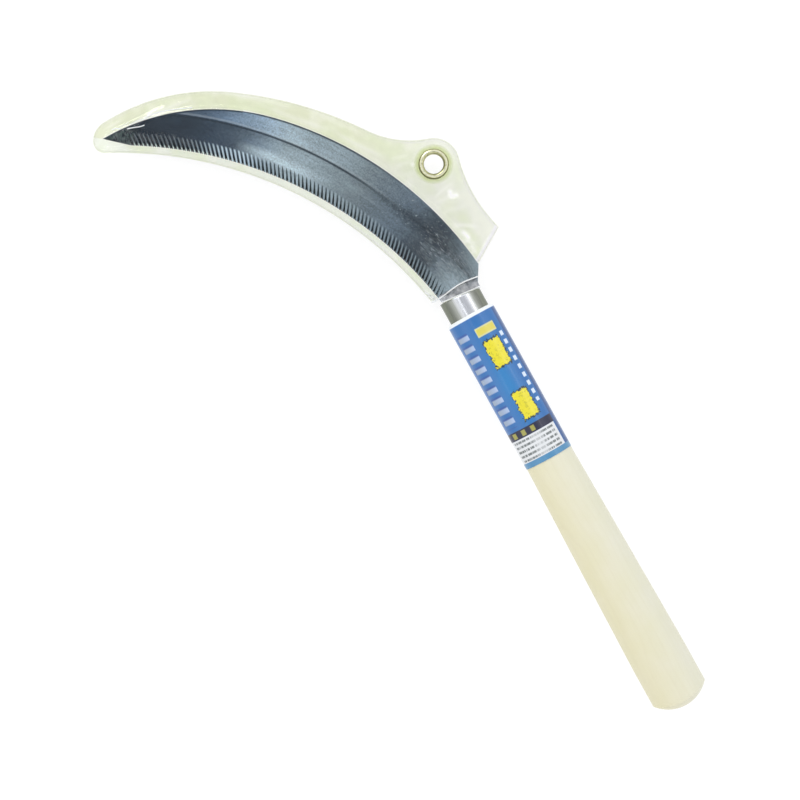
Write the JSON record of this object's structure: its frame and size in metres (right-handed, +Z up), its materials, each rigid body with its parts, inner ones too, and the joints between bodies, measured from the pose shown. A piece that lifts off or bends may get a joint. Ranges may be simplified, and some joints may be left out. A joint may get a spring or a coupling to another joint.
{
  "type": "serrated sickle",
  "caption": "Hand sickle with a crescent blade, small ground teeth along its inner edge, an oval wooden handle with a steel ferrule, and a clear welded sheath that hangs by an eyelet.",
  "frame": {"origin": "on the ground plane, under the middle of the sickle's box as it lies flat", "axes": "+X along the handle from the butt towards the blade, +Y towards the blade's tip, +Z up, square to the blade's flat"},
  "size_m": [0.364, 0.1454, 0.0228],
  "materials": {
    "blade_steel": "brushed",
    "ferrule_steel": "polished",
    "handle_wood": "fine sanded, clear coat",
    "pin_steel": "plain",
    "label_print": "printed, glossy",
    "sheath_film": "clear soft film, glossy",
    "eyelet_brass": "plated, dull"
  },
  "bodies": {
    "sickle": {"blade": "blade_steel", "ferrule": "ferrule_steel", "handle": "handle_wood", "tang_pin": "pin_steel", "label": "label_print"},
    "sheath": {"sheath_front": "sheath_film", "sheath_back": "sheath_film", "eyelet": "eyelet_brass", "eyelet_washer": "eyelet_brass"}
  },
  "joints": [
    {"name": "sheath_pull_off", "type": "hinge", "parent": "sickle", "child": "sheath", "pos_m": [0.00441, 0.15342, 0.0114], "axis": [0, 0, 1], "range_deg": [0, 60]}
  ]
}
